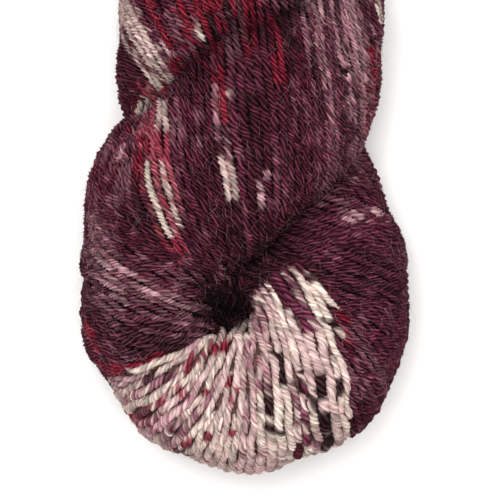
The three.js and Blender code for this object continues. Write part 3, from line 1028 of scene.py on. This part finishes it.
def strand(turn):
    """Points, colours and fibre coordinates of one turn, ring after ring."""
    turn = ringed(turn)
    normals = turn["normals"]
    n = len(normals)
    gap = spacing_of(turn["fan"])
    room = np.clip(turn["width"], SLIM * gap, STOUT * gap)
    radius = RADIUS_SHARE * room * rng.uniform(*OWN_SIZE)
    radius = radius * (1 + slow_noise(n, SWELL_WAVES, SWELLING))
    middle = middle_line(turn, radius)
    forward = unit(np.gradient(middle, axis=0))
    across = unit(np.cross(forward, normals))
    up = np.cross(across, forward)
    run = np.concatenate([[0], np.cumsum(np.linalg.norm(np.diff(middle, axis=0), axis=1))])
    ply_turn = (LOOSE_PLY_TURN if turn["fan"] else PLY_TURN) * rng.uniform(*OWN_TWIST)
    corner = 2 * math.pi * np.arange(SECTION) / SECTION
    twist = 2 * math.pi * (run / ply_turn + rng.random())
    twist = twist + slow_noise(n, TWIST_WAVES, UNEVEN_TWIST)
    angle = corner[None] + twist[:, None]
    crown = np.where(np.arange(SECTION) % 2, LOOSE_VALLEY if turn["fan"] else VALLEY, 1.0)
    out = np.cos(angle)[..., None] * across[:, None] + np.sin(angle)[..., None] * up[:, None]
    reach = radius[:, None] * crown[None]
    points = middle[:, None] + reach[..., None] * out
    tones = dyed(turn["points"], normals, turn)
    colours, deep = shaded(tones, turn, np.sum(out * normals[:, None], -1))
    lengthways = np.broadcast_to(run[:, None] * FIBRE_STRETCH, angle.shape)
    fibres = [lengthways, reach * np.cos(corner)[None], reach * np.sin(corner)[None]]
    fibres = np.stack(fibres, axis=-1) + rng.uniform(0, 500, 3)
    return {"points": points, "normals": normals, "colours": colours, "lit": deep,
            "fibres": fibres, "run": run}


def strand_faces(rings, first):
    """Faces of one closed strand, whose first corner has that number."""
    i = np.arange(rings - 1)[:, None] * SECTION + first
    v = np.arange(SECTION)[None]
    w = (v + 1) % SECTION
    sides = np.stack([i + v, i + w, i + SECTION + w, i + SECTION + v], axis=-1).reshape(-1, 4)
    last = first + (rings - 1) * SECTION
    return sides, (first + np.arange(SECTION)[::-1], last + np.arange(SECTION))


def new_piece(name, points, faces, material):
    """A piece of the object, from points in millimetres."""
    mesh = bpy.data.meshes.new(name)
    mesh.from_pydata((np.asarray(points) * MM).tolist(), [], faces)
    mesh.polygons.foreach_set("use_smooth", [True] * len(mesh.polygons))
    mesh.materials.append(material)
    piece = bpy.data.objects.new(name, mesh)
    bpy.context.scene.collection.objects.link(piece)
    return piece


def point_values(piece, name, kind, values):
    """Stores a colour or a direction at each point of a piece."""
    if kind == "FLOAT_COLOR":
        layer = piece.data.color_attributes.new(name, kind, "POINT")
        layer.data.foreach_set("color", np.concatenate([values, np.ones((len(values), 1))], 1).ravel())
    else:
        layer = piece.data.attributes.new(name, kind, "POINT")
        layer.data.foreach_set("vector", values.ravel())


UV_GAP, UV_SPARE, UV_EDGE = 2, 1.06, 0.05  # room after each strand, over all and beside it


def flatten_strands(piece, strands):
    """Lays the strands side by side in columns of the piece's flat map."""
    layer = piece.data.uv_layers.new(name="OFBake")
    total = sum(s["run"][-1] + UV_GAP for s in strands)
    tall = total / UV_COLUMNS * UV_SPARE
    column, low = 0, 0.0
    flat = []
    for s in strands:
        length = s["run"][-1]
        if low + length > tall:
            column, low = column + 1, 0.0
        u = column + UV_EDGE + (1 - 2 * UV_EDGE) * np.arange(SECTION + 1) / SECTION
        u = u / (UV_COLUMNS + 1)
        v = (low + s["run"]) / tall
        quad = np.zeros((len(v) - 1, SECTION, 4, 2))
        quad[..., 0, 0] = quad[..., 3, 0] = u[None, :-1]
        quad[..., 1, 0] = quad[..., 2, 0] = u[None, 1:]
        quad[..., 0, 1] = quad[..., 1, 1] = v[:-1, None]
        quad[..., 2, 1] = quad[..., 3, 1] = v[1:, None]
        flat.append(quad.reshape(-1, 2))
        for at, order in ((v[0], -1), (v[-1], 1)):
            flat.append(np.stack([u[:-1][::order], np.full(SECTION, at)], axis=1))
        low += length + UV_GAP
    layer.data.foreach_set("uv", np.clip(np.concatenate(flat), 0, 1).ravel())


def wool_piece(name, strands, material):
    """One mesh of many strands."""
    points, colours, fibres, faces, first = [], [], [], [], 0
    for s in strands:
        rings = len(s["points"])
        sides, ends = strand_faces(rings, first)
        faces += [*sides.tolist(), *(e.tolist() for e in ends)]
        for store, key in ((points, "points"), (colours, "colours"), (fibres, "fibres")):
            store.append(s[key].reshape(-1, 3))
        first += rings * SECTION
    piece = new_piece(name, np.concatenate(points), faces, material)
    # The colour at each point: the dye, with its painted highlight and painted shade
    point_values(piece, "dye_and_painted_light", "FLOAT_COLOR", np.concatenate(colours))
    point_values(piece, "lay", "FLOAT_VECTOR", np.concatenate(fibres))
    flatten_strands(piece, strands)
    return piece


# ---------------------------------------------------------------- materials


def add(tree, kind, settings=(), **links):
    """Adds a node, sets its values, and links its inputs from other nodes' outputs."""
    node = tree.nodes.new(kind)
    for key, value in dict(settings).items():
        if key in node.inputs:
            node.inputs[key].default_value = value
        else:
            setattr(node, key, value)
    for key, source in links.items():
        tree.links.new(source, node.inputs[key.replace("_", " ")])
    return node


def new_material(name):
    """An empty material and its tree of nodes."""
    material = bpy.data.materials.new(name)
    material.use_nodes = True
    material.node_tree.nodes.clear()
    return material, material.node_tree


# A wool fibre is about 0.02 mm thick, too fine to show, so tufts of fibres are drawn
TUFT = 0.09  # width of a tuft, in millimetres
NOISE_BAND = 0.35  # width of a light or dark band of the noise, as a share of its lumps
LUMPS = 1.1  # lumps in the spinning to each millimetre
TUFT_HEIGHT = 0.25  # how far the tufts stand up, in millimetres


def spun_wool():
    """Worsted four-ply wool, spun, plied and hand-dyed: matt, with a faint sheen at the edges and
    fine light and dark tufts that lie along each ply."""
    material, tree = new_material("hand_dyed_wool")
    lay = add(tree, "ShaderNodeAttribute", {"attribute_name": "lay"})
    # Base colour: the dye with the painted highlight and painted shade stored at each point
    dye_and_painted_light = add(tree, "ShaderNodeAttribute", {"attribute_name": "dye_and_painted_light"})
    place = lay.outputs["Vector"]
    fine = {"Scale": NOISE_BAND / TUFT, "Detail": 4, "Roughness": 0.65}
    tufts = add(tree, "ShaderNodeTexNoise", fine, Vector=place)
    lumps = add(tree, "ShaderNodeTexNoise", {"Scale": LUMPS, "Detail": 2}, Vector=place)
    both = add(tree, "ShaderNodeMath", {"operation": "MULTIPLY"}, Value=tufts.outputs["Fac"])
    tree.links.new(lumps.outputs["Fac"], both.inputs[1])
    contrast = {"From Min": 0.14, "From Max": 0.38, "To Min": 0.38, "To Max": 1.66}
    tone = add(tree, "ShaderNodeMapRange", contrast, Value=both.outputs["Value"])
    scale = {"operation": "SCALE"}
    colour = add(tree, "ShaderNodeVectorMath", scale, Scale=tone.outputs["Result"],
                 Vector=dye_and_painted_light.outputs["Color"])
    relief = {"Strength": 0.6, "Distance": TUFT_HEIGHT * MM}
    bump = add(tree, "ShaderNodeBump", relief, Height=tufts.outputs["Fac"])
    matt = {"Roughness": 0.9, "IOR": 1.54, "Specular IOR Level": 0.02,
            "Sheen Weight": 0.01, "Sheen Roughness": 0.4}
    surface = add(tree, "ShaderNodeBsdfPrincipled", matt, Base_Color=colour.outputs["Vector"],
                  Normal=bump.outputs["Normal"])
    add(tree, "ShaderNodeOutputMaterial", Surface=surface.outputs["BSDF"])
    return material


def laminate():
    """A pressed melamine laminate with a matt white face, which gives soft shadows and no glare."""
    material, tree = new_material("matt_white_laminate")
    matt = {"Base Color": (*linear("#f1f0ee"), 1), "Roughness": 0.7}
    surface = add(tree, "ShaderNodeBsdfPrincipled", matt)
    add(tree, "ShaderNodeOutputMaterial", Surface=surface.outputs["BSDF"])
    return material


# ---------------------------------------------------------------- making


CAMERA_X, CAMERA_Y, CAMERA_HEIGHT = -0.54, -81.1, 778  # over the near half of the skein


def make_camera():
    """Straight down on the near half of the skein."""
    data = bpy.data.cameras.new("camera")
    data.lens, data.sensor_width = 200, 36
    data.clip_start, data.clip_end = 0.05, 20
    camera = bpy.data.objects.new("camera", data)
    camera.location = (CAMERA_X * MM, CAMERA_Y * MM, CAMERA_HEIGHT * MM)
    bpy.context.scene.collection.objects.link(camera)
    bpy.context.scene.camera = camera


LIT_PLACE = (0, -0.05, 0)  # in metres, on the near half of the skein
ROOM_LIGHT = 0.4


def make_lights():
    """A broad soft light overhead and a weaker one from the far left."""
    for name, place, size, power in (
        # name, place and size in metres, watts
        ("overhead", (0.0, 0.0, 1.6), 1.0, 27),
        ("key", (-0.3, 0.3, 1.5), 0.6, 7),
    ):
        data = bpy.data.lights.new(name, "AREA")
        data.size, data.energy = size, power
        lamp = bpy.data.objects.new(name, data)
        lamp.location = place
        aim = Vector(LIT_PLACE) - lamp.location
        lamp.rotation_euler = aim.to_track_quat("-Z", "Y").to_euler()
        bpy.context.scene.collection.objects.link(lamp)
    world = bpy.data.worlds.new("studio")
    world.use_nodes = True
    background = world.node_tree.nodes["Background"]
    background.inputs["Color"].default_value = (1, 1, 1, 1)
    background.inputs["Strength"].default_value = ROOM_LIGHT
    bpy.context.scene.world = world
    bpy.context.scene.view_settings.view_transform = "Standard"


def make_floor():
    """The table top that the skein rests on."""
    bpy.ops.mesh.primitive_plane_add(size=6)
    floor = bpy.context.object
    floor.name = "floor"
    floor.data.materials.append(laminate())


CORE_INSET = 1.25  # how far the core lies under the solid's face
CORE_FLOOR = 0.5  # and at least so far above the table top
CORE_ROW_STEP, CORE_COL_STEP = 3, 2  # it takes one in so many of the grid's points
CORE_SHADE_DARK, CORE_SHADE_PALE = "#1c0a10", "#5e423e"  # its colour, painted dark as the shade between the turns, and paler under the loosened turns
CORE_PALE_END = 0.3  # how near a crease the pale part ends


def core_piece(material):
    """The wound turns under the top ones, seen only as dark between them: real yarn, in colours of
    painted shade.
    """
    inset = CORE_INSET + sunk(CREASED, FROM_EYE)
    rings = (GRID - inset[..., None] * NORMAL)[::CORE_ROW_STEP, ::CORE_COL_STEP]
    rings[..., 2] = np.maximum(rings[..., 2], CORE_FLOOR)
    rows, cols = rings.shape[:2]
    i, j = np.meshgrid(np.arange(rows), np.arange(cols), indexing="ij")
    k, m = (i + 1) % rows, (j + 1) % cols
    faces = np.stack([i * cols + j, i * cols + m, k * cols + m, k * cols + j], -1).reshape(-1, 4)
    piece = new_piece("wound_core", rings.reshape(-1, 3), faces.tolist(), material)
    loose = FAN & (FROM_EYE > EYE_REACH) & (CREASED < CORE_PALE_END)
    loose = loose[::CORE_ROW_STEP, ::CORE_COL_STEP].reshape(-1, 1)
    # Painted shade: the core is far darker than the yarn it stands for, as the shade between the turns
    tones = np.where(loose, linear(CORE_SHADE_PALE), linear(CORE_SHADE_DARK))
    point_values(piece, "dye_and_painted_light", "FLOAT_COLOR", tones)
    point_values(piece, "lay", "FLOAT_VECTOR", rings.reshape(-1, 3))
    corners = ((0, 0), (0, 1), (1, 1), (1, 0))
    at = np.stack([np.stack([i + a, j + b], -1) for a, b in corners], axis=2) / (rows, cols)
    piece.data.uv_layers.new(name="OFBake").data.foreach_set("uv", at.ravel())
    return piece


HAIRS, HAIR_RINGS, HAIR_SIDES = 7500, 3, 3
HAIR_RADIUS, HAIR_TAPER = 0.028, 0.7  # radius at the root, and how much of it goes by the tip
HAIR_LENGTHS = (1.5, 5)
HAIR_STAND, HAIR_DROOP = (0.1, 0.7), (0.0, 0.4)  # how far they stand up and bend back down
HAIR_STRAY = 0.5  # how far they turn aside
HAIR_ROOT = 0.2  # how deep in the ply they begin
HAIR_MARGIN = 3  # rings at each end of a strand that bear none
HAIR_LIGHT = "#d6b2b8"  # painted light that comes through a fibre, mixed with half the painted colour of its turn's crown
HAIR_FLOOR = 0.1  # how far they keep above the table top
HAIR_COLUMNS = 80  # of their flat map
HAIR_EDGE = 0.1  # room beside each fibre in its cell of the map, as a share of the cell
HAIR_PATCH, HAIR_SPREAD = (0.001, 0.002), (0.003, 0.01)  # size of a face there, and of a fibre


def stray_hairs(strands, material):
    """Fine loose fibres that stand off the turns."""
    tops = [(s, k) for s in strands for k in range(HAIR_MARGIN, len(s["points"]) - HAIR_MARGIN)]
    chosen = rng.choice(len(tops), HAIRS)
    points, colours, faces, flat = [], [], [], []
    along = np.linspace(0, 1, HAIR_RINGS)[:, None]
    corner = 2 * math.pi * np.arange(HAIR_SIDES) / HAIR_SIDES
    for number, pick in enumerate(chosen):
        s, k = tops[pick]
        ring, nearby = s["points"][k], s["points"][k + 1]
        normal = s["normals"][k]
        crown = int(np.argmax((ring - ring.mean(0)) @ normal))
        root = ring[crown]
        forward = unit(nearby.mean(0) - ring.mean(0)) * rng.choice((-1, 1))
        side = np.cross(forward, normal)
        length = rng.uniform(*HAIR_LENGTHS)
        stand = normal * rng.uniform(*HAIR_STAND)
        start = unit(forward + stand + side * rng.normal(0, HAIR_STRAY))
        bend = (side * rng.normal(0, HAIR_STRAY) - normal * rng.uniform(*HAIR_DROOP)) * length
        line = root - HAIR_ROOT * normal + start * along * length + bend * along**2
        line[:, 2] = np.maximum(line[:, 2], HAIR_FLOOR)
        ahead = unit(np.gradient(line, axis=0))
        first = unit(np.cross(ahead, normal + 0.01))
        second = np.cross(ahead, first)
        thick = HAIR_RADIUS * (1 - HAIR_TAPER * along[:, 0])
        base = number * HAIR_RINGS * HAIR_SIDES
        for q in range(HAIR_RINGS):
            ray = np.cos(corner)[:, None] * first[q] + np.sin(corner)[:, None] * second[q]
            points.append(line[q] + thick[q] * ray)
        # Half the turn's crown colour, painted highlight and shade included, half painted light
        # through the fibre, dimmed by the painted shade of creases and eye
        tone = s["colours"][k, crown] * 0.5 + 0.5 * s["lit"][k] * linear(HAIR_LIGHT)
        colours.append(np.tile(tone, (HAIR_RINGS * HAIR_SIDES, 1)))
        wide, tall = HAIR_PATCH
        u0 = (number % HAIR_COLUMNS + HAIR_EDGE) / HAIR_COLUMNS
        v0 = (number // HAIR_COLUMNS + HAIR_EDGE) / (HAIRS / HAIR_COLUMNS + 1)
        for q in range(HAIR_RINGS - 1):
            for c in range(HAIR_SIDES):
                d = (c + 1) % HAIR_SIDES
                a = base + q * HAIR_SIDES
                faces.append((a + c, a + d, a + HAIR_SIDES + d, a + HAIR_SIDES + c))
                u = u0 + HAIR_SPREAD[0] * c / HAIR_SIDES
                v = v0 + HAIR_SPREAD[1] * q / HAIR_RINGS
                flat += [u, v, u + wide, v, u + wide, v + tall, u, v + tall]
        end = base + (HAIR_RINGS - 1) * HAIR_SIDES
        faces += [(base + 2, base + 1, base), (end, end + 1, end + 2)]
        flat += [u0, v0, u0 + wide, v0, u0, v0 + wide] * 2
    piece = new_piece("stray_hairs", np.concatenate(points), faces, material)
    point_values(piece, "dye_and_painted_light", "FLOAT_COLOR", np.concatenate(colours))
    point_values(piece, "lay", "FLOAT_VECTOR", np.concatenate(points))
    piece.data.uv_layers.new(name="OFBake").data.foreach_set("uv", np.clip(flat, 0, 1))
    return piece


def make_skein():
    """All the yarn: the turns in a few meshes, the core under them and the fibres over them."""
    wool = spun_wool()
    turns = lay_all()
    even_out(turns)
    strands = [strand(turn) for turn in turns + eye_turns()]
    share = sum(len(s["points"]) for s in strands) / PIECES
    groups, filled = [[]], 0
    for s in strands:
        if filled > share and len(groups) < PIECES:
            groups.append([])
            filled = 0
        groups[-1].append(s)
        filled += len(s["points"])
    pieces = [wool_piece(f"yarn_turns_{k + 1}", group, wool) for k, group in enumerate(groups)]
    pieces.append(core_piece(wool))
    pieces.append(stray_hairs(strands, wool))
    for piece in pieces:
        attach(piece, "root")
        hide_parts("skein")


make_camera()
make_skein()
make_floor()
make_lights()
